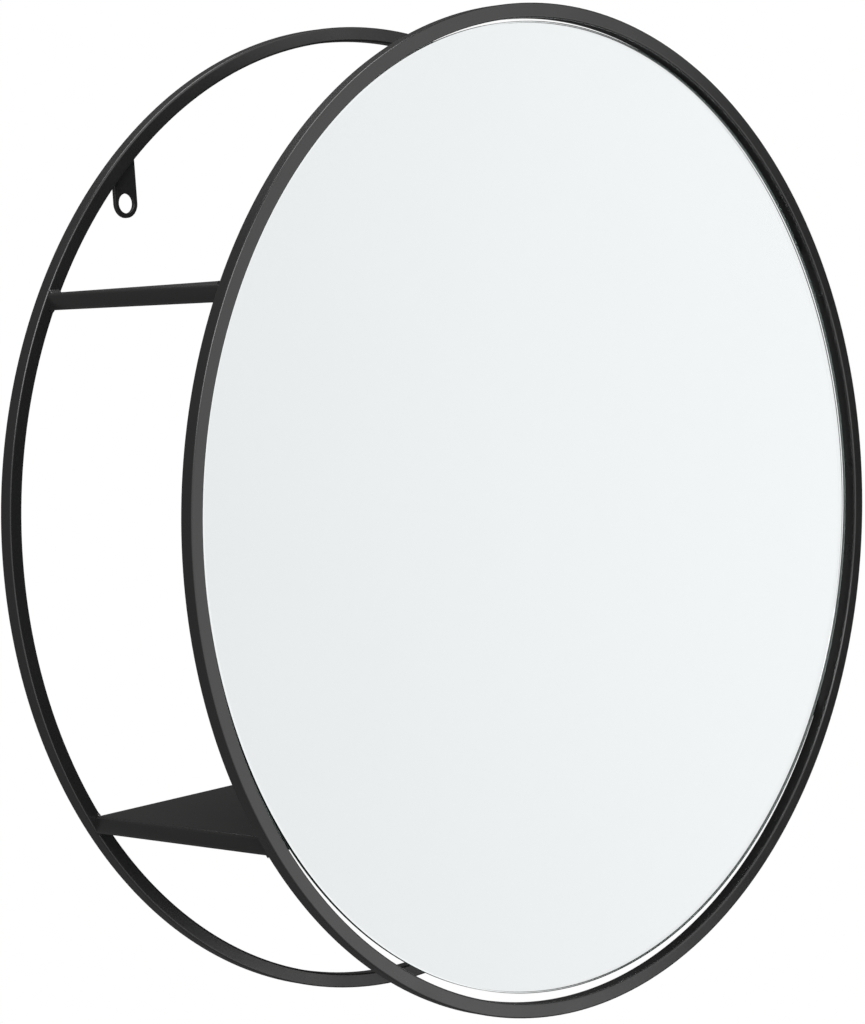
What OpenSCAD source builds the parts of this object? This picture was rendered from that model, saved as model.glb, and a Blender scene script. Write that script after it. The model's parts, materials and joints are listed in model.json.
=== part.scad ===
// Round wall mirror with an open steel frame: two rings of square bar, joined by
// two folded shelves, with a glass disc that stands clear of the front ring.
// Millimetres. +Z is up, the wall is the plane y = 0 and the glass faces -Y.
// The origin is on the wall, midway between the two hanging holes.

/* [Rings] */
// Outside diameter of both rings
ring_d = 550; // [480:5:700]
// Side of the square steel bar
bar = 8; // [6:0.5:12]
// Radius along the bar's four corners
bar_corner_r = 1; // [0.4:0.1:2]
// Depth from the wall to the front ring's front face
depth = 146; // [100:1:220]

/* [Shelves] */
// Height of the upper shelf's top above the rings' centre
upper_shelf_rise = 137; // [90:1:170]
// Depth of the lower shelf's top below the rings' centre
lower_shelf_drop = 138; // [90:1:170]
// Height of the shelf edges, folded down on all four sides
shelf_edge_h = 9; // [8:0.5:16]
// Thickness of the shelf's sheet steel
sheet_t = 1.2; // [0.8:0.1:2]
// Inside radius of the folds
fold_inner_r = 0.6; // [0.3:0.1:1.5]

/* [Mirror] */
// Thickness of the glass
glass_t = 3; // [2.5:0.5:5]
// Width of the open gap between the glass and the front ring
glass_gap = 3.2; // [2.5:0.1:8]
// Height of the glass disc's centre above the rings' centre
glass_rise = 1.8; // [0:0.1:2.4]
// Width of the ground bevel round the front of the glass
bevel_w = 0.8; // [0.4:0.1:4]
// Depth of the ground bevel
bevel_depth = 0.4; // [0.3:0.1:1.5]
// Width and depth of the seam ground off the back edge
back_seam = 0.4; // [0.2:0.1:0.8]
// Thickness of the safety film on the back of the glass
film_t = 0.3; // [0.1:0.1:0.6]
// Distance from the film's edge to the edge of the glass
film_margin = 1.5; // [1:0.5:10]
// Thickness of the adhesive between the film and a shelf's front edge
adhesive_t = 0.8; // [0.5:0.1:1]
// Width of a bead of adhesive
adhesive_w = 6; // [3:0.5:7]
// Distance from each end of a bead to the edge of the glass
adhesive_margin = 15; // [11:1:60]

/* [Hanging ears] */
// Distance between the two hanging holes
ear_spacing = 350; // [200:1:380]
// Distance from the ring's inner edge to a hanging hole's centre
ear_reach = 15; // [12:0.5:24]
// Diameter of a hanging hole
ear_hole_d = 10.5; // [6:0.5:13]
// Width of the metal round a hanging hole
ear_rim = 2.5; // [2:0.5:5]
// Thickness of an ear
ear_t = 2; // [1.5:0.5:4]

/* [Welds] */
// Leg of the fillets that join the shelves to the rings
shelf_weld = 1.6; // [0.8:0.1:2.5]
// Distance from each end of a shelf weld to the edge of the bar
weld_end_margin = 0.8; // [0.3:0.1:1.2]
// Leg of the fillets that join the ears to the rear ring
ear_weld = 1.5; // [0.8:0.1:2.5]

/* [Hidden] */
$fn = 180;
small_fn = 32;
ring_r = ring_d / 2;
ring_inner_r = ring_r - bar;
shelf_depth = depth - 2 * bar;
shelf_back_y = -bar;
shelf_front_y = shelf_back_y - shelf_depth;
fold_r = fold_inner_r + sheet_t;
glass_r = ring_inner_r - glass_gap;
film_r = glass_r - film_margin;
adhesive_front_y = shelf_front_y - adhesive_t;
film_front_y = adhesive_front_y - film_t;
hole_x = ear_spacing / 2;
hole_ring_r = ring_inner_r - ear_reach;
hole_rise = sqrt(pow(hole_ring_r, 2) - pow(hole_x, 2));
ear_r = ear_hole_d / 2 + ear_rim;
through = 2;

// Half the width of a circle at a height above its centre
function half_chord(r, z) = sqrt(pow(r, 2) - pow(z, 2));
// The farther of a shelf edge's top and bottom from the rings' centre
function far_edge(top_z) = max(abs(top_z), abs(top_z - shelf_edge_h));
// A shelf's half width: its outermost corners lie on the rings' outer circle
function shelf_half_w(top_z) = half_chord(ring_r, far_edge(top_z));
// Middle of the flat stretch of a shelf's folded edge
function edge_middle(top_z) = top_z - (shelf_edge_h + fold_r) / 2;

// Puts what is drawn about the rings' centre below the hanging holes
module hung() translate([0, 0, -hole_rise]) children();

// Extrudes an X-Z outline from y = back towards the viewer
module forward(back, thickness)
    translate([0, back, 0]) rotate([90, 0, 0]) linear_extrude(thickness) children();

// The same on both sides, drawn for the right
module both_sides() for (side = [0, 1]) mirror([side, 0, 0]) children();

module bar_section() {
    flat = bar - 2 * bar_corner_r;
    translate([-flat / 2, -bar / 2]) square([flat, bar]);
    translate([-bar / 2, -flat / 2]) square([bar, flat]);
    for (x = [-1, 1], y = [-1, 1])
        translate([x * flat / 2, y * flat / 2]) circle(bar_corner_r, $fn = small_fn);
}

// A ring of square bar whose back face is at y = back
module ring(back)
    translate([0, back - bar / 2, 0]) rotate([90, 0, 0])
        rotate_extrude() translate([ring_r - bar / 2, 0]) bar_section();

// What a fold of radius r leaves off a square edge that runs along X
module fold_cut(length, r)
    rotate([90, 0, 90]) translate([-r, -r, -length / 2]) linear_extrude(length)
        difference() {
            square(r + through);
            circle(r, $fn = small_fn);
        }

// A block whose four top edges are folded over at radius r, with its top at zero
module folded_block(w, d, h, r)
    difference() {
        translate([-w / 2, -d / 2, -h]) cube([w, d, h]);
        for (turn = [0, 180]) {
            rotate([0, 0, turn]) translate([0, d / 2, 0]) fold_cut(w + through, r);
            rotate([0, 0, turn + 90]) translate([0, w / 2, 0]) fold_cut(d + through, r);
        }
    }

// A shelf of sheet steel with its four edges folded down and closed at the corners
module shelf(top_z) {
    w = 2 * shelf_half_w(top_z);
    translate([0, (shelf_front_y + shelf_back_y) / 2, top_z])
        difference() {
            folded_block(w, shelf_depth, shelf_edge_h, fold_r);
            translate([0, 0, -sheet_t])
                folded_block(w - 2 * sheet_t, shelf_depth - 2 * sheet_t,
                    shelf_edge_h - sheet_t + through, fold_inner_r);
        }
}

// Section of a hollow fillet in the corner at zero, towards +X and +Y
module fillet_section(leg)
    difference() {
        square(leg);
        translate([leg, leg]) circle(leg, $fn = small_fn);
    }

// Section of a weld beside a shelf's top: it fills the groove along the fold,
// and a fillet stands on it
module top_weld_section() {
    fillet_section(shelf_weld);
    mirror([0, 1]) fillet_section(fold_r);
}

// Section of a weld under a shelf's folded edge
module bottom_weld_section() mirror([0, 1]) fillet_section(shelf_weld);

// Runs a weld section along a ring's bar where the bar passes height z,
// against the rear ring's front face and the front ring's back face
module along_bars(z, shelf_w) {
    inner = half_chord(ring_inner_r, z) + weld_end_margin;
    outer = min(half_chord(ring_r, z), shelf_w) - weld_end_margin;
    translate([inner, shelf_front_y, z])
        rotate([90, 0, 90]) linear_extrude(outer - inner) children();
    translate([inner, shelf_back_y, z])
        rotate([90, 0, 90]) linear_extrude(outer - inner) mirror([1, 0]) children();
}

// The welds above and below each of a shelf's four corners
module shelf_welds(top_z)
    both_sides() {
        along_bars(top_z, shelf_half_w(top_z)) top_weld_section();
        along_bars(top_z - shelf_edge_h, shelf_half_w(top_z)) bottom_weld_section();
    }

module glass_disc()
    translate([0, film_front_y, glass_rise]) rotate([90, 0, 0])
        rotate_extrude() polygon([[0, 0], [glass_r - back_seam, 0], [glass_r, back_seam],
            [glass_r, glass_t - bevel_depth], [glass_r - bevel_w, glass_t], [0, glass_t]]);

module film_disc()
    translate([0, 0, glass_rise]) forward(adhesive_front_y, film_t) circle(film_r);

// A round-ended bead of adhesive along the flat of a shelf's front edge
module adhesive(top_z) {
    z = edge_middle(top_z);
    far = abs(z - glass_rise) + adhesive_w / 2;
    half_l = half_chord(glass_r, far) - adhesive_margin;
    end_r = adhesive_w / 2;
    forward(shelf_front_y, adhesive_t) translate([0, z]) {
        translate([end_r - half_l, -end_r]) square([2 * (half_l - end_r), adhesive_w]);
        for (side = [-1, 1])
            translate([side * (half_l - end_r), 0]) circle(end_r, $fn = small_fn);
    }
}

// A round-bottomed ear on the wall plane that runs up to the ring's inner edge,
// drawn for the right
module ear()
    forward(0, ear_t)
        difference() {
            intersection() {
                circle(ring_inner_r);
                union() {
                    translate([hole_x, hole_rise]) circle(ear_r);
                    translate([hole_x - ear_r, hole_rise])
                        square([2 * ear_r, ring_inner_r]);
                }
            }
            translate([hole_x, hole_rise]) circle(ear_hole_d / 2);
        }

// The fillet between an ear's front and the ring's inner edge, drawn for the right
module ear_fillet() {
    start = acos((hole_x + ear_r) / ring_inner_r);
    end = acos((hole_x - ear_r) / ring_inner_r);
    translate([0, -ear_t, 0]) rotate([90, 0, 0]) rotate([0, 0, start])
        rotate_extrude(angle = end - start)
            translate([ring_inner_r, 0]) mirror([1, 0]) fillet_section(ear_weld);
}

module rear_ring() color("#262626") hung() ring(0);
module front_ring() color("#2e2f2f") hung() ring(shelf_front_y);
module upper_shelf() color("#2a2a29") hung() shelf(upper_shelf_rise);
module lower_shelf() color("#2a2a29") hung() shelf(-lower_shelf_drop);
module mirror_glass() color("#e6edec") hung() glass_disc();
module mirror_film() color("#3a3a3c") hung() film_disc();
module upper_adhesive() color("#8b8b86") hung() adhesive(upper_shelf_rise);
module lower_adhesive() color("#8b8b86") hung() adhesive(-lower_shelf_drop);
module left_ear() color("#262626") hung() mirror([1, 0, 0]) ear();
module right_ear() color("#262626") hung() ear();
module upper_shelf_welds() color("#333333") hung() shelf_welds(upper_shelf_rise);
module lower_shelf_welds() color("#333333") hung() shelf_welds(-lower_shelf_drop);
module ear_welds() color("#333333") hung() both_sides() ear_fillet();

rear_ring();
front_ring();
upper_shelf();
lower_shelf();
mirror_glass();
mirror_film();
upper_adhesive();
lower_adhesive();
left_ear();
right_ear();
upper_shelf_welds();
lower_shelf_welds();
ear_welds();
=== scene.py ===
"""The looks of a round wall mirror: two rings of powder-coated square bar, joined by two
folded shelves, with a bevelled mirror that stands clear of the front ring."""
import json
import math

import bmesh
import bpy
from bpy.props import FloatProperty, FloatVectorProperty, IntProperty, PointerProperty
from bpy.types import Operator, Panel, PropertyGroup
from mathutils import Matrix, Vector, noise


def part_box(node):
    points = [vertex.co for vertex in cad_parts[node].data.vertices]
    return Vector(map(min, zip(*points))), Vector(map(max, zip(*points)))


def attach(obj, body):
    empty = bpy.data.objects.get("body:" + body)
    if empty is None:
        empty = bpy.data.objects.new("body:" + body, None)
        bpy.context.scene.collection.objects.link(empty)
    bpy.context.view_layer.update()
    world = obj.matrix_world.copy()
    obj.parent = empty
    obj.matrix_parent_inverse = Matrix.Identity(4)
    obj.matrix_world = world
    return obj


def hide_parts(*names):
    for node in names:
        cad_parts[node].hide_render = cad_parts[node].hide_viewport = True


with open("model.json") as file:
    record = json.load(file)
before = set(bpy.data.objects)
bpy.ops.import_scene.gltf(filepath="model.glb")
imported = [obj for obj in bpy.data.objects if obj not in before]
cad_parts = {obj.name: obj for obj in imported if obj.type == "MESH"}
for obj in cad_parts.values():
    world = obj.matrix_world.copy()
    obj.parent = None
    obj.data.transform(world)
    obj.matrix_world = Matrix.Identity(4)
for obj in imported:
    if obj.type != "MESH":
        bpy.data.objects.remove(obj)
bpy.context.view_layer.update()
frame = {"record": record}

bl_info = {
    "name": "Round Wall Mirror",
    "version": (1, 0, 0),
    "blender": (4, 5, 0),
    "location": "View3D > Sidebar > Round Mirror",
    "description": "Dresses the frame, shelves and glass of a round wall mirror",
    "category": "Add Mesh",
}

MM = 0.001
SAME_PLACE = 0.001 * MM
FULL_TURN = 2 * math.pi
MOUNTS = {mount["name"]: mount for mount in frame["record"]["mounts"]}
FRONT_LOW, FRONT_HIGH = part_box("front_ring")
REAR_LOW, REAR_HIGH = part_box("rear_ring")
GLASS_LOW, GLASS_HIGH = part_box("mirror_glass")
FILM_LOW, FILM_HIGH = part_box("mirror_film")
EAR_LOW, EAR_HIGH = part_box("right_ear")
EAR_WIDTH = EAR_HIGH.x - EAR_LOW.x
HOLE_X = (EAR_LOW.x + EAR_HIGH.x) / 2
RING_RADIUS = FRONT_HIGH.x
BAR = FRONT_HIGH.y - FRONT_LOW.y
RING_INSIDE = RING_RADIUS - BAR
RING_CENTRE = Vector((0, 0, FRONT_LOW.z + RING_RADIUS))
GLASS_RADIUS = GLASS_HIGH.x
GLASS_CENTRE = Vector((0, 0, GLASS_LOW.z + GLASS_RADIUS))
FILM_RADIUS = FILM_HIGH.x
SHELVES = ("upper_shelf", "lower_shelf")


class SteelSizes(PropertyGroup):
    """Sizes of the steel that the frame is made of"""

    ring_steps: IntProperty(
        name="Ring steps", description="Faces round a ring", default=288, min=48)
    bar_corner: FloatProperty(
        name="Bar corner", description="Radius along the bar's corners", default=1.0 * MM,
        subtype="DISTANCE", unit="LENGTH")
    sheet: FloatProperty(
        name="Sheet", description="Thickness of the shelves' sheet steel", default=1.2 * MM,
        subtype="DISTANCE", unit="LENGTH")
    fold: FloatProperty(
        name="Fold", description="Outside radius of the shelves' folds", default=1.8 * MM,
        subtype="DISTANCE", unit="LENGTH")
    soft_edge: FloatProperty(
        name="Soft edge", description="How far the coat rounds an ear's cut edge",
        default=0.25 * MM, subtype="DISTANCE", unit="LENGTH")
    sheet_edge: FloatProperty(
        name="Sheet edge", description="How far the coat rounds a shelf's cut edge",
        default=0.09 * MM, subtype="DISTANCE", unit="LENGTH")
    shelf_weld: FloatProperty(
        name="Shelf weld", description="Leg of the welds beside the shelves", default=1.6 * MM,
        subtype="DISTANCE", unit="LENGTH")
    weld_margin: FloatProperty(
        name="Weld margin", description="From a shelf weld's end to the edge of the bar",
        default=0.8 * MM, subtype="DISTANCE", unit="LENGTH")
    ear_weld: FloatProperty(
        name="Ear weld", description="Leg of the welds at the ears' roots", default=1.5 * MM,
        subtype="DISTANCE", unit="LENGTH")
    ripple: FloatProperty(
        name="Ripple", description="Distance between the ripples of a weld", default=1.3 * MM,
        subtype="DISTANCE", unit="LENGTH")
    ripple_depth: FloatProperty(
        name="Ripple depth", description="Share of its size by which a weld swells",
        default=0.07, subtype="FACTOR", min=0, max=0.5)


class GlassSizes(PropertyGroup):
    """Sizes of the mirror, of what covers its back and of the adhesive"""

    steps: IntProperty(name="Steps", description="Faces round the glass", default=360, min=48)
    bevel_width: FloatProperty(
        name="Bevel width", description="Width of the ground bevel", default=0.8 * MM,
        subtype="DISTANCE", unit="LENGTH")
    bevel_depth: FloatProperty(
        name="Bevel depth", description="Depth of the ground bevel", default=0.4 * MM,
        subtype="DISTANCE", unit="LENGTH")
    seam: FloatProperty(
        name="Seam", description="Seam ground off the back edge", default=0.4 * MM,
        subtype="DISTANCE", unit="LENGTH")
    paint: FloatProperty(
        name="Paint", description="Thickness of the paint behind the silver", default=0.05 * MM,
        subtype="DISTANCE", unit="LENGTH")
    bead_wave: FloatProperty(
        name="Bead wave", description="How far the adhesive's outline wanders", default=0.6 * MM,
        subtype="DISTANCE", unit="LENGTH")


class Finishes(PropertyGroup):
    """Colours and surface of the coat, the glass and what is behind it"""

    coat: FloatVectorProperty(
        name="Coat", description="Colour of the powder coat", default=(0.0140, 0.0140, 0.0138),
        size=3, subtype="COLOR", min=0, max=1)
    # Paler colour along edges: partly the coat thinning there, partly a painted highlight
    coat_edge_sheen: FloatVectorProperty(
        name="Coat at edges", description="Colour where the coat thins over an edge",
        default=(0.019, 0.019, 0.0188), size=3, subtype="COLOR", min=0, max=1)
    coat_roughness: FloatProperty(
        name="Coat roughness", description="Roughness of the powder coat", default=0.30,
        subtype="FACTOR", min=0, max=1)
    peel: FloatProperty(
        name="Orange peel", description="Size of the coat's orange peel", default=2.2 * MM,
        subtype="DISTANCE", unit="LENGTH")
    peel_depth: FloatProperty(
        name="Peel depth", description="Depth of the coat's orange peel", default=0.012 * MM,
        subtype="DISTANCE", unit="LENGTH", precision=6)
    grain: FloatProperty(
        name="Grain", description="Size of the coat's fine grain", default=0.4 * MM,
        subtype="DISTANCE", unit="LENGTH")
    silver: FloatVectorProperty(
        name="Silver", description="Colour of the silvering", default=(0.950, 0.964, 0.974),
        size=3, subtype="COLOR", min=0, max=1)
    glass: FloatVectorProperty(
        name="Glass", description="Tint of the glass", default=(0.965, 0.985, 0.978),
        size=3, subtype="COLOR", min=0, max=1)
    glass_edge: FloatVectorProperty(
        name="Glass edge", description="Colour of the ground edge of the glass",
        default=(0.20, 0.27, 0.25), size=3, subtype="COLOR", min=0, max=1)
    # Painted shade: the dark front part of the glass's edge, and how deep it reaches, stand for
    # the shade that the front ring's wall casts on it
    glass_edge_painted_shade: FloatVectorProperty(
        name="Glass edge in front", description="Colour of the front part of that edge",
        default=(0.012, 0.016, 0.015), size=3, subtype="COLOR", min=0, max=1)
    painted_shade_depth: FloatProperty(
        name="Dark edge", description="From the front of the glass to where its edge turns paler",
        default=1.7 * MM, subtype="DISTANCE", unit="LENGTH")
    # Painted shade: the silver stops short of the glass's edge, and the rim beyond it is coloured
    # dark to stand for the dark line along that edge
    shaded_silver_margin: FloatProperty(
        name="Silver margin", description="From the silver's edge to the edge of the glass",
        default=0.8 * MM, subtype="DISTANCE", unit="LENGTH")
    painted_shade_rim: FloatVectorProperty(
        name="Bare rim", description="Colour behind the glass beyond the silver",
        default=(0.02, 0.022, 0.021), size=3, subtype="COLOR", min=0, max=1)
    paint: FloatVectorProperty(
        name="Mirror paint", description="Colour of the paint behind the silver",
        default=(0.105, 0.115, 0.110), size=3, subtype="COLOR", min=0, max=1)
    film: FloatVectorProperty(
        name="Film", description="Colour of the safety film", default=(0.080, 0.085, 0.090),
        size=3, subtype="COLOR", min=0, max=1)
    adhesive: FloatVectorProperty(
        name="Adhesive", description="Colour of the cured adhesive", default=(0.42, 0.42, 0.40),
        size=3, subtype="COLOR", min=0, max=1)


class StageSizes(PropertyGroup):
    """The camera, the floor, the black flag and the lamps"""

    lens: FloatProperty(
        name="Lens", description="Focal length on a sensor 36 mm high", default=107.70, min=10)
    camera_place: FloatVectorProperty(
        name="Camera", description="Place of the camera", default=(-1.25352, -1.24104, -0.03143),
        size=3, subtype="TRANSLATION", unit="LENGTH")
    camera_turn: FloatVectorProperty(
        name="Camera turn", description="Pitch up, roll and turn to the right",
        default=tuple(math.radians(angle) for angle in (-5.0017, -3.6597, 46.335)),
        size=3, subtype="EULER", unit="ROTATION")
    floor_drop: FloatProperty(
        name="Floor drop", description="From the hanging holes down to the floor", default=1.8,
        subtype="DISTANCE", unit="LENGTH")
    floor_side: FloatProperty(
        name="Floor side", description="Side of the square floor", default=5.0,
        subtype="DISTANCE", unit="LENGTH")
    flag_place: FloatVectorProperty(
        name="Flag", description="Place of the black flag", default=(0.825, -0.45, -0.2),
        size=3, subtype="TRANSLATION", unit="LENGTH")
    flag_size: FloatVectorProperty(
        name="Flag size", description="Width and height of the black flag", default=(0.7, 1.6),
        size=2, subtype="XYZ", unit="LENGTH")
    flag_lean: FloatProperty(
        name="Flag lean", description="How far the flag's foot leans to the left",
        default=math.radians(6), subtype="ANGLE", unit="ROTATION")
    key_place: FloatVectorProperty(
        name="Key", description="Place of the soft key light", default=(-1.6, -2.2, 1.5),
        size=3, subtype="TRANSLATION", unit="LENGTH")
    key_side: FloatProperty(
        name="Key side", description="Side of the square key light", default=1.6,
        subtype="DISTANCE", unit="LENGTH")
    key_power: FloatProperty(
        name="Key power", description="Power of the key light", default=55.0, unit="POWER")
    top_place: FloatVectorProperty(
        name="Top", description="Place of the light overhead", default=(0.0, 0.6, 2.2),
        size=3, subtype="TRANSLATION", unit="LENGTH")
    top_side: FloatProperty(
        name="Top side", description="Side of the square light overhead", default=1.6,
        subtype="DISTANCE", unit="LENGTH")
    top_power: FloatProperty(
        name="Top power", description="Power of the light overhead", default=30.0, unit="POWER")
    plain_light: FloatProperty(
        name="Plain light", description="Level of the background as a light on the object",
        default=0.55, min=0)


class Number:
    """A value that varies over a surface, and the socket that carries it. Arithmetic on it
    adds Math nodes."""

    def __init__(self, tree, socket):
        self.tree = tree
        self.socket = socket

    def __add__(self, other):
        return self.tree.math("ADD", self, other)

    __radd__ = __add__

    def __sub__(self, other):
        return self.tree.math("SUBTRACT", self, other)

    def __rsub__(self, other):
        return self.tree.math("SUBTRACT", other, self)

    def __mul__(self, other):
        return self.tree.math("MULTIPLY", self, other)

    __rmul__ = __mul__

    def __pow__(self, other):
        return self.tree.math("POWER", self, other)

    def __abs__(self):
        return self.tree.math("ABSOLUTE", self)

    def lower(self, other):
        return self.tree.math("MINIMUM", self, other)

    def higher(self, other):
        return self.tree.math("MAXIMUM", self, other)

    def swing(self, width):
        """Swings about zero and is width wide in all, where this goes from 0 to 1."""
        return (self - 0.5) * width

    def ramp(self, low, high, to_low=0.0, to_high=1.0):
        """Goes smoothly from to_low, where this is at low, to to_high, where it is at high."""
        return self.tree.add(
            "ShaderNodeMapRange", {"interpolation_type": "SMOOTHSTEP"},
            {"Value": self, "From Min": low, "From Max": high, "To Min": to_low,
             "To Max": to_high})


class Tree:
    """The nodes of a material or a world"""

    # Places of the sockets on a Mix node that mixes colours
    MIX_FACTOR, MIX_A, MIX_B, MIX_COLOUR = 0, 6, 7, 2

    def __init__(self, owner):
        owner.use_nodes = True
        self.nodes = owner.node_tree.nodes
        self.links = owner.node_tree.links
        self.nodes.clear()

    def add(self, kind, settings=None, inputs=None, output=0):
        """Adds a node, sets it up and returns one of its outputs."""
        node = self.nodes.new(kind)
        for name, value in (settings or {}).items():
            setattr(node, name, value)
        for key, value in (inputs or {}).items():
            if isinstance(value, Number):
                self.links.new(value.socket, node.inputs[key])
            else:
                node.inputs[key].default_value = value
        return Number(self, node.outputs[output]) if node.outputs else None

    def math(self, operation, *values):
        """Adds a Math node."""
        return self.add("ShaderNodeMath", {"operation": operation}, dict(enumerate(values)))

    def place(self, centre=(0, 0, 0)):
        """Object coordinates, counted from a centre."""
        return self.add(
            "ShaderNodeVectorMath", {"operation": "SUBTRACT"},
            {0: self.add("ShaderNodeTexCoord", output="Object"), 1: centre})

    def stretched(self, place, scale):
        """The same place, with each direction multiplied."""
        return self.add(
            "ShaderNodeVectorMath", {"operation": "MULTIPLY"}, {0: place, 1: scale})

    def axes(self, place):
        """The three coordinates of a place."""
        parts = self.add("ShaderNodeSeparateXYZ", None, {"Vector": place}).socket.node
        return [Number(self, parts.outputs[axis]) for axis in "XYZ"]

    def rays(self, *kinds):
        """1 for each kind of ray, such as Camera or Glossy, and 0 for all others."""
        path = self.add("ShaderNodeLightPath").socket.node
        return [Number(self, path.outputs["Is " + kind + " Ray"]) for kind in kinds]

    def speckle(self, place, size, detail=2.0):
        """Smooth noise from 0 to 1, whose patches are about size across."""
        return self.add(
            "ShaderNodeTexNoise", {"noise_dimensions": "3D"},
            {"Vector": place, "Scale": 1 / size, "Detail": detail, "Roughness": 0.5})

    def spots(self, place, size):
        """Distance to the nearest of many scattered points, in shares of size."""
        return self.add(
            "ShaderNodeTexVoronoi", {"feature": "F1"}, {"Vector": place, "Scale": 1 / size},
            "Distance")

    def blend(self, factor, first, second):
        """A colour between two others."""
        return self.add(
            "ShaderNodeMix", {"data_type": "RGBA"},
            {self.MIX_FACTOR: factor, self.MIX_A: first, self.MIX_B: second}, self.MIX_COLOUR)

    def bump(self, height, depth):
        """The normal of a relief that is depth deep where the height goes from 0 to 1."""
        return self.add(
            "ShaderNodeBump", None, {"Height": height, "Distance": depth, "Strength": 1.0},
            "Normal")

    def surface(self, inputs):
        """Ends a material in one Principled shader."""
        shader = self.add("ShaderNodeBsdfPrincipled", None, inputs)
        self.add("ShaderNodeOutputMaterial", None, {"Surface": shader})

    def either(self, factor, first, second):
        """Ends a material in a mix of two shaders."""
        mixed = self.add("ShaderNodeMixShader", None, {0: factor, 1: first, 2: second})
        self.add("ShaderNodeOutputMaterial", None, {"Surface": mixed})


def shade(colour, share=1.0):
    """A colour as a socket takes it, with its parts multiplied by a share."""
    return (*(share * part for part in colour), 1.0)


def new_material(name):
    """A material and its empty node tree."""
    material = bpy.data.materials.new(name)
    return material, Tree(material)


def bar_edges(tree, bar_middle):
    """1 along the four corners of a ring's bar, 0 on its flats."""
    # Band along the corners that takes the paler coat: partly thin coat, partly a painted
    # highlight
    thin_sheen_from, thin_sheen_to = 1.1 * MM, 0.2 * MM
    x, y, z = tree.axes(tree.place(RING_CENTRE))
    across = abs((x * x + z * z) ** 0.5 - (RING_RADIUS - BAR / 2))
    along = abs(y - bar_middle)
    return across.lower(along).ramp(BAR / 2 - thin_sheen_from, BAR / 2 - thin_sheen_to)


def shelf_edges(tree, low, high, width):
    """1 along the folded and the cut edges of a shelf, 0 farther than width from them."""
    # This band takes the paler coat: partly thin coat, partly a painted highlight
    full_width = 0.2 * width
    middle = (low + high) / 2
    half = (high - low) / 2
    x, y, z = [abs(axis) for axis in tree.axes(tree.place(middle))]
    side, front, top = half.x - x, half.y - y, half.z - z
    along_top = side.lower(front).higher(top)
    corner = side.higher(front)
    return along_top.lower(corner).ramp(full_width, width, 1.0, 0.0)


def powder_coat(finish, name, edges=None, middle=(0, 0, 0)):
    """Satin powder coat with fine orange peel and grain, thinner and smoother on edges, where its
    paler colour is partly the thin coat and partly a painted highlight.
    """
    cloud_size, wipe_size, nib_spacing = 60 * MM, 22 * MM, 11 * MM
    edge_polish = 0.07
    material, tree = new_material(name)
    place = tree.place(middle)
    cloud = tree.speckle(place, cloud_size, detail=3)
    peel = tree.speckle(place, finish.peel, detail=1)
    grain = tree.speckle(place, finish.grain)
    nibs = tree.spots(place, nib_spacing).ramp(0.02, 0.05, 1.0, 0.0)
    wiped = tree.speckle(tree.stretched(place, (1.0, 0.35, 1.0)), wipe_size, detail=4)
    edge = edges(tree) if edges else 0.0
    tone = cloud.swing(0.5) + grain.swing(0.5) + 0.5
    flats = tree.blend(tone, shade(finish.coat, 0.8), shade(finish.coat, 1.2))
    roughness = wiped.swing(0.14) + grain.swing(0.10) + finish.coat_roughness
    if edges:
        roughness = roughness - edge * edge_polish
    tree.surface({
        # The paler edge colour is partly thin coat and partly a painted highlight
        "Base Color": tree.blend(edge, flats, shade(finish.coat_edge_sheen)),
        "Roughness": roughness,
        "Normal": tree.bump(peel + grain.swing(0.22) + nibs * 0.8, finish.peel_depth),
        "IOR": 1.5,
    })
    return material


def polished_glass(finish):
    """The front and the bevel of the glass: clear, with a breath of green."""
    cloud_size, paleness = 90 * MM, 0.6
    paler = [1 - (1 - part) * paleness for part in finish.glass]
    material, tree = new_material("mirror_glass")
    cloud = tree.speckle(tree.place(GLASS_CENTRE), cloud_size, detail=3)
    tree.surface({
        "Base Color": tree.blend(cloud, shade(finish.glass), shade(paler)),
        "Roughness": 0.0,
        "IOR": 1.52,
        "Transmission Weight": 1.0,
    })
    return material


def ground_glass(finish):
    """The ground edge of the glass: grey-green towards the back, and dark in front with painted
    shade from the front ring's wall.
    """
    grit, grit_depth, change = 1.2 * MM, 0.01 * MM, 0.3 * MM
    material, tree = new_material("ground_glass_edge")
    drawn_out = tree.stretched(tree.place(GLASS_CENTRE), (1.0, 4.0, 1.0))
    grind = tree.speckle(drawn_out, grit, detail=3)
    _, depth, _ = tree.axes(tree.place(GLASS_LOW))
    # Painted shade: the front part of the edge is dark, standing for the shade of the front
    # ring's wall
    paler = depth.ramp(finish.painted_shade_depth, finish.painted_shade_depth + change)
    ground = tree.blend(grind, shade(finish.glass_edge), shade(finish.glass_edge, 0.7))
    tree.surface({
        "Base Color": tree.blend(paler, shade(finish.glass_edge_painted_shade), ground),
        "Roughness": grind * 0.16 + 0.30,
        "Normal": tree.bump(grind, grit_depth),
        "Specular IOR Level": 0.0,
    })
    return material


def silvering(finish):
    """The silver on the back of the glass, seen through it. It ends short of the edge, and beyond
    it a dark rim of painted shade stands for the dark line along the glass's edge."""
    cloud_size, fade = 120 * MM, 0.1 * MM
    rim_roughness = 0.4
    material, tree = new_material("mirror_silver")
    place = tree.place(GLASS_CENTRE)
    x, _, z = tree.axes(place)
    ends = GLASS_RADIUS - finish.shaded_silver_margin
    unsilvered_shade = ((x * x + z * z) ** 0.5).ramp(ends - fade, ends)
    cloud = tree.speckle(place, cloud_size)
    silver = tree.blend(cloud, shade(finish.silver), shade(finish.silver, 0.985))
    tree.surface({
        # The dark rim beyond the silver is painted shade
        "Base Color": tree.blend(unsilvered_shade, silver, shade(finish.painted_shade_rim)),
        "Metallic": 1 - unsilvered_shade,
        "Roughness": unsilvered_shade * rim_roughness,
        "Specular IOR Level": 0.0,
    })
    return material


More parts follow.
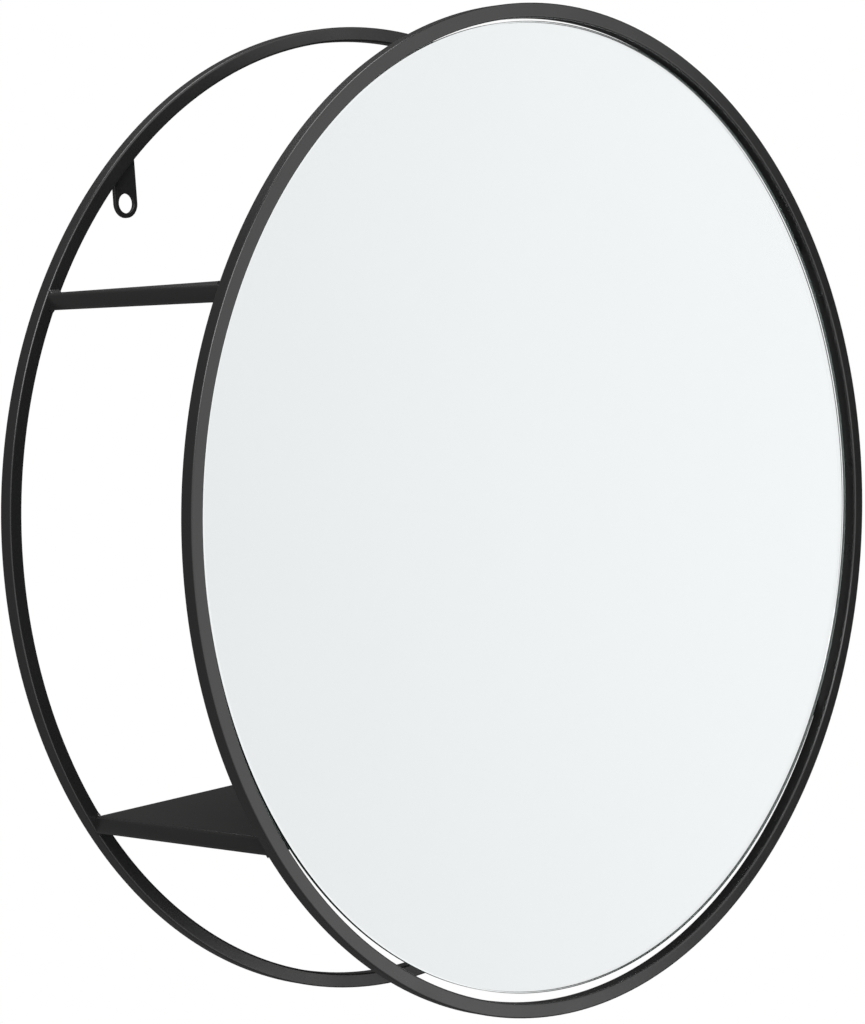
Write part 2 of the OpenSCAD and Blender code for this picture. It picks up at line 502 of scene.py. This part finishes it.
def mirror_paint(finish):
    """The grey paint that protects the silver, with the flow marks of a curtain coater."""
    flow_width, flow_depth = 3 * MM, 0.02 * MM
    material, tree = new_material("mirror_paint")
    drawn_out = tree.stretched(tree.place(GLASS_CENTRE), (1.0, 1.0, 0.08))
    flow = tree.speckle(drawn_out, flow_width, detail=3)
    tree.surface({
        "Base Color": tree.blend(flow, shade(finish.paint), shade(finish.paint, 0.82)),
        "Roughness": flow * 0.12 + 0.34,
        "Normal": tree.bump(flow, flow_depth),
    })
    return material


def safety_film(finish):
    """Safety film with its woven threads, which run both ways."""
    pitch, cloud_size, wrinkle_size = 3.0 * MM, 35 * MM, 14 * MM
    relief = 0.05 * MM
    material, tree = new_material("safety_film")
    place = tree.place(GLASS_CENTRE)
    x, _, z = tree.axes(place)

    def threads(axis):
        return tree.math("SINE", axis * (FULL_TURN / pitch)).ramp(0.55, 0.95)

    weave = threads(x).higher(threads(z))
    cloud = tree.speckle(place, cloud_size, detail=3)
    wrinkle = tree.speckle(tree.stretched(place, (0.25, 1.0, 1.0)), wrinkle_size)
    tree.surface({
        "Base Color": tree.blend(
            weave * 0.55 + cloud.swing(0.3), shade(finish.film), shade(finish.film, 1.7)),
        "Roughness": 0.46 - weave * 0.08 + cloud.swing(0.12),
        "Normal": tree.bump(weave + wrinkle * 1.5, relief),
    })
    return material


def cured_adhesive(finish):
    """Cured mirror adhesive: satin, a little uneven in colour and surface."""
    cloud_size, pit_spacing, relief = 12 * MM, 2.5 * MM, 0.08 * MM
    material, tree = new_material("cured_adhesive")
    place = tree.place()
    cloud = tree.speckle(place, cloud_size, detail=3)
    pits = tree.spots(place, pit_spacing).ramp(0.08, 0.2, 1.0, 0.0)
    tree.surface({
        "Base Color": tree.blend(cloud, shade(finish.adhesive), shade(finish.adhesive, 0.75)),
        "Roughness": cloud * 0.15 + 0.45,
        "Normal": tree.bump(cloud - pits * 0.4, relief),
    })
    return material


def new_object(name, bm):
    """Makes a bmesh an object of the scene."""
    mesh = bpy.data.meshes.new(name)
    bm.to_mesh(mesh)
    bm.free()
    made = bpy.data.objects.new(name, mesh)
    bpy.context.scene.collection.objects.link(made)
    return made


def finished(name, bm, materials, nodes, sharp=40):
    """Makes a bmesh a piece that rides on the frame and stands for its CAD nodes. Edges that
    turn by more than sharp, in degrees, stay sharp."""
    bmesh.ops.remove_doubles(bm, verts=bm.verts, dist=SAME_PLACE)
    bmesh.ops.recalc_face_normals(bm, faces=bm.faces)
    for face in bm.faces:
        face.smooth = True
    piece = new_object(name, bm)
    piece.data.set_sharp_from_angle(angle=math.radians(sharp))
    for material in materials:
        piece.data.materials.append(material)
    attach(piece, "root")
    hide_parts(*nodes)
    return piece


def spun(bm, steps):
    """Spins the outline in bm right round the Y axis."""
    bmesh.ops.spin(
        bm, geom=bm.verts[:] + bm.edges[:], cent=(0, 0, 0), axis=(0, 1, 0), angle=FULL_TURN,
        steps=steps, use_merge=True, use_duplicate=False)


def moved(bm, by):
    """Moves everything in bm."""
    bmesh.ops.translate(bm, verts=bm.verts, vec=by)


def outline(bm, points):
    """A line through points in the X-Y plane."""
    verts = [bm.verts.new((x, y, 0)) for x, y in points]
    for first, second in zip(verts, verts[1:]):
        bm.edges.new((first, second))


def ring_bar(bar_middle, steel):
    """A ring of square bar with rounded corners, about the Y axis. A line beside each corner
    holds the flats flat."""
    line_gap = 0.25 * MM
    bm = bmesh.new()
    turned = Matrix.Rotation(math.radians(45), 4, "Z")
    bmesh.ops.create_circle(
        bm, cap_ends=True, segments=4, radius=BAR / math.sqrt(2), matrix=turned)
    bmesh.ops.bevel(
        bm, geom=bm.verts[:], offset=steel.bar_corner, offset_type="OFFSET", segments=5,
        profile=0.5, affect="VERTICES", material=-1)
    bmesh.ops.delete(bm, geom=bm.faces[:], context="FACES_ONLY")
    line = BAR / 2 - steel.bar_corner - line_gap
    for normal in ((1, 0, 0), (-1, 0, 0), (0, 1, 0), (0, -1, 0)):
        bmesh.ops.bisect_plane(
            bm, geom=bm.verts[:] + bm.edges[:], plane_co=Vector(normal) * line,
            plane_no=normal)
    moved(bm, (RING_RADIUS - BAR / 2, bar_middle, 0))
    spun(bm, steel.ring_steps)
    moved(bm, RING_CENTRE)
    return bm


def shelf_tray(low, high, steel):
    """A tray whose four edges are folded down, as an open shell without its thickness."""
    bm = bmesh.new()
    bmesh.ops.create_cube(bm, size=1.0)
    bmesh.ops.scale(bm, vec=high - low, verts=bm.verts)
    moved(bm, (low + high) / 2)
    floor = [face for face in bm.faces if face.normal.z < -0.9]
    bmesh.ops.delete(bm, geom=floor, context="FACES_ONLY")
    under_top = high.z - steel.fold
    rim = [edge for edge in bm.edges if all(vert.co.z > under_top for vert in edge.verts)]
    bmesh.ops.bevel(
        bm, geom=rim, offset=steel.fold, offset_type="OFFSET", segments=6, profile=0.5,
        affect="EDGES", material=-1)
    return bm


def glass_disc(glass):
    """The glass with its ground bevel and back seam, about the Y axis."""
    back = GLASS_HIGH.y - glass.paint
    front = GLASS_LOW.y
    bm = bmesh.new()
    outline(bm, (
        (0, back), (GLASS_RADIUS - glass.seam, back), (GLASS_RADIUS, back - glass.seam),
        (GLASS_RADIUS, front + glass.bevel_depth), (GLASS_RADIUS - glass.bevel_width, front),
        (0, front)))
    spun(bm, glass.steps)
    moved(bm, GLASS_CENTRE)
    return bm


def thin_disc(radius, near, far, steps):
    """A thin disc about the glass's middle, from one depth to another."""
    bm = bmesh.new()
    outline(bm, ((0, near), (radius, near), (radius, far), (0, far)))
    spun(bm, steps)
    moved(bm, GLASS_CENTRE)
    return bm


def weld_bead(length, leg, root, steel):
    """A weld along X in the corner between the plane y = 0 and the plane z = 0: legs along
    +Y and +Z, and a root that reaches below. Its face bulges in ripples, and it grows from
    a smaller size at its ends."""
    steps_a_ripple, least_steps = 6, 8
    end_size, end_growth = 0.55, 0.88
    # Foot of the root, upright leg, bulging face, flat leg and the root's slope
    section = (
        (0.0, -root), (0.0, leg), (0.30 * leg, 0.86 * leg), (0.60 * leg, 0.60 * leg),
        (0.86 * leg, 0.30 * leg), (leg, 0.0), (0.45 * leg, -0.4 * root))
    steps = max(least_steps, round(length / steel.ripple * steps_a_ripple))
    bm = bmesh.new()
    face = bm.faces.new([bm.verts.new((-length / 2, y, z)) for y, z in section])
    before = 1.0
    for step in range(1, steps + 1):
        way = length * step / steps
        ripple = 1 + steel.ripple_depth * math.cos(FULL_TURN * way / steel.ripple)
        size = ripple * min(1.0, end_size + end_growth * min(way, length - way) / leg)
        grown = bmesh.ops.extrude_face_region(bm, geom=[face])
        if step > 1:
            bmesh.ops.delete(bm, geom=[face], context="FACES_ONLY")
        face = next(item for item in grown["geom"] if isinstance(item, bmesh.types.BMFace))
        bmesh.ops.translate(bm, verts=face.verts, vec=(length / steps, 0, 0))
        bmesh.ops.scale(bm, verts=face.verts, vec=(1, size / before, size / before))
        before = size
    return bm


def gather(beads):
    """Puts many small bmeshes into one."""
    whole = bmesh.new()
    for bead, matrix in beads:
        bmesh.ops.transform(bead, matrix=matrix, verts=bead.verts)
        mesh = bpy.data.meshes.new("bead")
        bead.to_mesh(mesh)
        bead.free()
        whole.from_mesh(mesh)
        bpy.data.meshes.remove(mesh)
    return whole


def half_chord(radius, height):
    """Half the width of a circle at a height above its centre."""
    return math.sqrt(radius ** 2 - height ** 2)


def shelf_weld_beads(shelf, steel):
    """The eight welds of a shelf: above and below each corner, against both rings."""
    lower_root = 0.3 * MM
    low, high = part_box(shelf)
    beads = []
    for height, root, up in ((high.z, steel.fold, 1), (low.z, lower_root, -1)):
        above = height - RING_CENTRE.z
        inner = half_chord(RING_INSIDE, above) + steel.weld_margin
        outer = min(half_chord(RING_RADIUS, above), high.x) - steel.weld_margin
        for ring_face, outwards in ((high.y, -1), (low.y, 1)):
            for side in (-1, 1):
                bead = weld_bead(outer - inner, steel.shelf_weld, root, steel)
                middle = Vector((side * (inner + outer) / 2, ring_face, height))
                turn = Matrix.Diagonal((1, outwards, up, 1))
                beads.append((bead, Matrix.Translation(middle) @ turn))
    return gather(beads)


def ear_plate(side, steel):
    """A round-bottomed ear with its hole, against the wall and up to the ring. Points that
    lie too close for its soft edge are merged."""
    too_close = 1.2 * steel.soft_edge
    hole_radius = MOUNTS["hanging_holes"]["dims"]["hole_r_mm"] * MM
    bm = bmesh.new()
    flat = Matrix.Translation((HOLE_X, 0, 0)) @ Matrix.Rotation(math.radians(90), 4, "X")
    made = bmesh.ops.create_circle(bm, segments=72, radius=EAR_WIDTH / 2, matrix=flat)
    bmesh.ops.create_circle(bm, segments=72, radius=hole_radius, matrix=flat)
    bmesh.ops.bridge_loops(bm, edges=bm.edges[:])
    for vert in made["verts"]:
        if vert.co.z > 0:
            vert.co.z = RING_CENTRE.z + half_chord(RING_INSIDE, vert.co.x)
    bmesh.ops.remove_doubles(bm, verts=made["verts"], dist=too_close)
    grown = bmesh.ops.extrude_face_region(bm, geom=bm.faces[:])
    front = [item for item in grown["geom"] if isinstance(item, bmesh.types.BMVert)]
    bmesh.ops.translate(bm, verts=front, vec=(0, EAR_LOW.y, 0))
    bmesh.ops.scale(bm, verts=bm.verts, vec=(side, 1, 1))
    return bm


def ear_weld_bead(side, steel):
    """The weld between an ear's front and the ring's inner edge, bent along the ring."""
    root = 0.2 * MM
    climb = math.acos(HOLE_X / RING_INSIDE)
    length = EAR_WIDTH / math.sin(climb)
    bm = weld_bead(length, steel.ear_weld, root, steel)
    for vert in bm.verts:
        angle = climb - vert.co.x / RING_INSIDE
        radius = RING_INSIDE - vert.co.y
        vert.co = Vector((
            side * radius * math.cos(angle), EAR_LOW.y - vert.co.z,
            RING_CENTRE.z + radius * math.sin(angle)))
    return bm, Matrix.Identity(4)


def adhesive_bead(low, high, glass):
    """A bead of adhesive, squeezed between the film and a shelf so that its outline wanders
    and its ends are round."""
    steps, rows = 150, 4
    wave_length, waves_a_metre = 9 * MM, 40
    least_width = 0.2
    middle = (low + high) / 2
    half = (high - low) / 2
    bm = bmesh.new()
    bmesh.ops.create_grid(bm, x_segments=steps, y_segments=rows, size=1.0)
    for vert in bm.verts:
        along, across = vert.co.x, vert.co.y
        inwards = min(1.0, (1 - abs(along)) * half.x / half.z)
        rounding = max(least_width, math.sqrt(1 - (1 - inwards) ** 2))
        wander = noise.noise(
            Vector((along * half.x / wave_length, across, middle.z * waves_a_metre)))
        reach = half.z - glass.bead_wave * (0.5 + 0.5 * wander)
        vert.co = Vector((along * half.x, 0, across * reach * rounding))
    grown = bmesh.ops.extrude_face_region(bm, geom=bm.faces[:])
    shelf_side = [item for item in grown["geom"] if isinstance(item, bmesh.types.BMVert)]
    bmesh.ops.translate(bm, verts=shelf_side, vec=(0, 2 * half.y, 0))
    moved(bm, (middle.x, low.y, middle.z))
    return bm


def soften(piece, width):
    """Rounds the cut edges as a coat does."""
    bevel = piece.modifiers.new("Soft edges", "BEVEL")
    bevel.width = width
    bevel.use_clamp_overlap = False
    bevel.segments = 2
    bevel.limit_method = "ANGLE"
    bevel.angle_limit = math.radians(40)


class MIRROR_OT_rings(Operator):
    """Makes the two rings of square bar"""

    bl_idname = "round_mirror.rings"
    bl_label = "Rings"

    def execute(self, context):
        steel = context.scene.mirror_steel
        finish = context.scene.mirror_finish
        for node, low, high in (
            ("rear_ring", REAR_LOW, REAR_HIGH), ("front_ring", FRONT_LOW, FRONT_HIGH),
        ):
            middle = (low.y + high.y) / 2
            coat = powder_coat(
                finish, node + "_coat", lambda tree, at=middle: bar_edges(tree, at), RING_CENTRE)
            finished(node + "_bar", ring_bar(middle, steel), [coat], [node])
        return {"FINISHED"}


class MIRROR_OT_shelves(Operator):
    """Makes the two folded shelves"""

    bl_idname = "round_mirror.shelves"
    bl_label = "Shelves"

    def execute(self, context):
        steel = context.scene.mirror_steel
        finish = context.scene.mirror_finish
        for node in SHELVES:
            low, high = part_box(node)
            coat = powder_coat(
                finish, node + "_coat",
                lambda tree, low=low, high=high: shelf_edges(tree, low, high, steel.fold),
                (low + high) / 2)
            tray = finished(
                node + "_tray", shelf_tray(low, high, steel), [coat], [node])
            wall = tray.modifiers.new("Sheet", "SOLIDIFY")
            wall.thickness = steel.sheet
            wall.offset = -1
            wall.use_even_offset = True
            soften(tray, steel.sheet_edge)
        return {"FINISHED"}


class MIRROR_OT_glass(Operator):
    """Makes the bevelled glass with its silver"""

    bl_idname = "round_mirror.glass"
    bl_label = "Glass"

    def execute(self, context):
        glass = context.scene.mirror_glass
        finish = context.scene.mirror_finish
        materials = [polished_glass(finish), ground_glass(finish), silvering(finish)]
        ground, silvered = 1, 2
        piece = finished(
            "mirror_pane", glass_disc(glass), materials, ["mirror_glass"], sharp=10)
        # The back faces +Y, the rim faces outwards and the seam lies between them
        for face in piece.data.polygons:
            if face.normal.y > 0.9:
                face.material_index = silvered
            elif face.normal.y > -0.1:
                face.material_index = ground
        return {"FINISHED"}


class MIRROR_OT_backing(Operator):
    """Makes the paint and the safety film on the back of the glass"""

    bl_idname = "round_mirror.backing"
    bl_label = "Backing"

    def execute(self, context):
        glass = context.scene.mirror_glass
        finish = context.scene.mirror_finish
        film = thin_disc(FILM_RADIUS, FILM_LOW.y, FILM_HIGH.y, glass.steps)
        finished("mirror_back_film", film, [safety_film(finish)], ["mirror_film"])
        off_silver = 0.1 * glass.paint
        near = GLASS_HIGH.y - glass.paint + off_silver
        paint = thin_disc(GLASS_RADIUS - glass.seam, near, GLASS_HIGH.y, glass.steps)
        finished("mirror_back_paint", paint, [mirror_paint(finish)], [])
        return {"FINISHED"}


class MIRROR_OT_adhesive(Operator):
    """Makes the two beads of adhesive between the film and the shelves"""

    bl_idname = "round_mirror.adhesive"
    bl_label = "Adhesive"

    def execute(self, context):
        glass = context.scene.mirror_glass
        cured = cured_adhesive(context.scene.mirror_finish)
        for node in ("upper_adhesive", "lower_adhesive"):
            low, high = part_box(node)
            finished(node + "_bead", adhesive_bead(low, high, glass), [cured], [node])
        return {"FINISHED"}


class MIRROR_OT_ears(Operator):
    """Makes the two hanging ears"""

    bl_idname = "round_mirror.ears"
    bl_label = "Ears"

    def execute(self, context):
        steel = context.scene.mirror_steel
        finish = context.scene.mirror_finish
        coat = powder_coat(finish, "ear_coat")
        for node, side in (("left_ear", -1), ("right_ear", 1)):
            plate = finished(
                node + "_plate", ear_plate(side, steel), [coat], [node])
            soften(plate, steel.soft_edge)
        return {"FINISHED"}


class MIRROR_OT_welds(Operator):
    """Makes the welds of the shelves and the ears"""

    bl_idname = "round_mirror.welds"
    bl_label = "Welds"

    def execute(self, context):
        steel = context.scene.mirror_steel
        coat = powder_coat(context.scene.mirror_finish, "weld_coat")
        for shelf in SHELVES:
            finished(
                shelf + "_beads", shelf_weld_beads(shelf, steel), [coat],
                [shelf + "_welds"], sharp=50)
        ears = gather([ear_weld_bead(side, steel) for side in (-1, 1)])
        finished("ear_beads", ears, [coat], ["ear_welds"], sharp=50)
        return {"FINISHED"}


def soft_light(name, place, target, side, power):
    """A square soft box that looks at a target."""
    lamp = bpy.data.lights.new(name, "AREA")
    lamp.shape = "SQUARE"
    lamp.size = side
    lamp.energy = power
    holder = bpy.data.objects.new(name, lamp)
    holder.location = place
    holder.rotation_euler = (Vector(target) - Vector(place)).to_track_quat("-Z", "Y").to_euler()
    bpy.context.scene.collection.objects.link(holder)


def studio_world(stage):
    """A white background for the camera and the mirror, soft shades for satin surfaces, and
    a plain light on the object. The ranges are parts of a direction, from -1 to 1."""
    grey_left, grey_wall = 0.86, 0.6
    wall_left, wall_right = 0.22, 0.08
    room_foot, room_rise = 0.2, 1.0
    room_below, room_above = 1.9, 1.35
    room_left, room_right = 0.45, 1.0
    world = bpy.data.worlds.new("studio")
    bpy.context.scene.world = world
    tree = Tree(world)
    camera, singular, transmission, glossy = tree.rays(
        "Camera", "Singular", "Transmission", "Glossy")
    x, y, z = tree.axes(tree.add("ShaderNodeTexCoord", output="Generated"))
    outwards = y * -1
    clear = x.ramp(0.60, 0.86, grey_left, 1.0) * outwards.ramp(0.0, 0.35, grey_wall, 1.0)
    wall = x.ramp(-0.6, 0.7, wall_left, wall_right)
    room = z.ramp(-0.75, -0.30, room_foot, room_rise) * z.ramp(-0.3, 0.0, room_below, room_above)
    room = room * x.ramp(-0.95, -0.25, room_left, room_right)
    satin = wall + (room - wall) * outwards.ramp(0.0, 0.62)
    soft = glossy * satin + (1 - glossy) * stage.plain_light
    sharp = singular.higher(transmission)
    strength = camera + (1 - camera) * (sharp * clear + (1 - sharp) * soft)
    background = tree.add(
        "ShaderNodeBackground", None, {"Color": (1, 1, 1, 1), "Strength": strength})
    tree.add("ShaderNodeOutputWorld", None, {"Surface": background})


def card(name, width, height, matrix, material):
    """A flat card of the stage, drawn in the X-Y plane and put in place by a matrix."""
    bm = bmesh.new()
    bmesh.ops.create_grid(bm, x_segments=1, y_segments=1, size=0.5)
    bmesh.ops.scale(bm, vec=(width, height, 1), verts=bm.verts)
    bmesh.ops.transform(bm, matrix=matrix, verts=bm.verts)
    made = new_object(name, bm)
    made.data.materials.append(material)


def pale_floor(stage):
    """A pale floor well below the mirror, which keeps its shadow and fades to white. What
    gloss and glass show there is the background behind it."""
    fade_from, fade_to = 0.2 * stage.floor_side, 0.46 * stage.floor_side
    white_in_middle = 0.7
    material, tree = new_material("pale_floor")
    camera, glossy, transmission = tree.rays("Camera", "Glossy", "Transmission")
    matt = tree.add("ShaderNodeBsdfDiffuse", None, {"Color": (0.80, 0.80, 0.80, 1)})
    white = tree.add("ShaderNodeEmission", None, {"Color": (1, 1, 1, 1), "Strength": 1.0})
    clear = tree.add("ShaderNodeBsdfTransparent")
    x, y, _ = tree.axes(tree.place())
    fade = ((x * x + y * y) ** 0.5).ramp(fade_from, fade_to, white_in_middle, 1.0)
    lit = tree.add("ShaderNodeMixShader", None, {0: camera * fade, 1: matt, 2: white})
    tree.either(glossy.higher(transmission), lit, clear)
    below = Matrix.Translation((0, 0, -stage.floor_drop))
    card("floor", stage.floor_side, stage.floor_side, below, material)


def black_flag(stage):
    """A black card at the right, which keeps the light off that side's satin surfaces.
    Nothing else shows it."""
    material, tree = new_material("black_flag")
    glossy, singular = tree.rays("Glossy", "Singular")
    clear = tree.add("ShaderNodeBsdfTransparent")
    black = tree.add("ShaderNodeBsdfDiffuse", None, {"Color": (0, 0, 0, 1)})
    tree.either(glossy * (1 - singular), clear, black)
    upright = Matrix.Rotation(math.radians(90), 4, "X")
    lean = Matrix.Rotation(stage.flag_lean, 4, "Y")
    place = Matrix.Translation(stage.flag_place) @ lean @ upright
    card("black_flag", *stage.flag_size, place, material)


def camera_view(stage):
    """The camera, at the photograph's viewing angle."""
    sensor = 36
    lens = bpy.data.cameras.new("camera")
    lens.sensor_fit = "VERTICAL"
    lens.sensor_height = sensor
    lens.sensor_width = sensor
    lens.lens = stage.lens
    pitch, roll, turn = stage.camera_turn
    camera = bpy.data.objects.new("camera", lens)
    aim = Matrix.Rotation(-turn, 4, "Z") @ Matrix.Rotation(math.radians(90) + pitch, 4, "X")
    camera.matrix_world = (
        Matrix.Translation(stage.camera_place) @ aim @ Matrix.Rotation(roll, 4, "Z"))
    bpy.context.scene.collection.objects.link(camera)
    bpy.context.scene.camera = camera


class MIRROR_OT_stage(Operator):
    """Makes the camera, the floor, the background, the black flag and the lamps"""

    bl_idname = "round_mirror.stage"
    bl_label = "Stage"

    def execute(self, context):
        stage = context.scene.mirror_stage
        context.scene.view_settings.view_transform = "Standard"
        camera_view(stage)
        studio_world(stage)
        pale_floor(stage)
        black_flag(stage)
        soft_light("key", stage.key_place, RING_CENTRE, stage.key_side, stage.key_power)
        soft_light("top", stage.top_place, RING_CENTRE, stage.top_side, stage.top_power)
        return {"FINISHED"}


OPERATORS = (
    MIRROR_OT_rings, MIRROR_OT_shelves, MIRROR_OT_glass, MIRROR_OT_backing,
    MIRROR_OT_adhesive, MIRROR_OT_ears, MIRROR_OT_welds, MIRROR_OT_stage)
SETTINGS = {
    "mirror_steel": SteelSizes, "mirror_glass": GlassSizes, "mirror_finish": Finishes,
    "mirror_stage": StageSizes}


class MIRROR_PT_panel(Panel):
    """Lists the pieces and their sizes"""

    bl_idname = "MIRROR_PT_panel"
    bl_label = "Round Mirror"
    bl_space_type = "VIEW_3D"
    bl_region_type = "UI"
    bl_category = "Round Mirror"

    def draw(self, context):
        for name in SETTINGS:
            group = getattr(context.scene, name)
            column = self.layout.column(align=True)
            for size in group.__annotations__:
                column.prop(group, size)
        for operator in OPERATORS:
            self.layout.operator(operator.bl_idname)


def register():
    for group in SETTINGS.values():
        bpy.utils.register_class(group)
    for operator in OPERATORS:
        bpy.utils.register_class(operator)
    bpy.utils.register_class(MIRROR_PT_panel)
    for name, group in SETTINGS.items():
        setattr(bpy.types.Scene, name, PointerProperty(type=group))


def unregister():
    for name in SETTINGS:
        delattr(bpy.types.Scene, name)
    bpy.utils.unregister_class(MIRROR_PT_panel)
    for operator in reversed(OPERATORS):
        bpy.utils.unregister_class(operator)
    for group in reversed(SETTINGS.values()):
        bpy.utils.unregister_class(group)


def main():
    """Makes the stage and all the pieces."""
    register()
    bpy.ops.round_mirror.stage()
    bpy.ops.round_mirror.rings()
    bpy.ops.round_mirror.shelves()
    bpy.ops.round_mirror.glass()
    bpy.ops.round_mirror.backing()
    bpy.ops.round_mirror.adhesive()
    bpy.ops.round_mirror.ears()
    bpy.ops.round_mirror.welds()


if __name__ == "__main__":
    main()
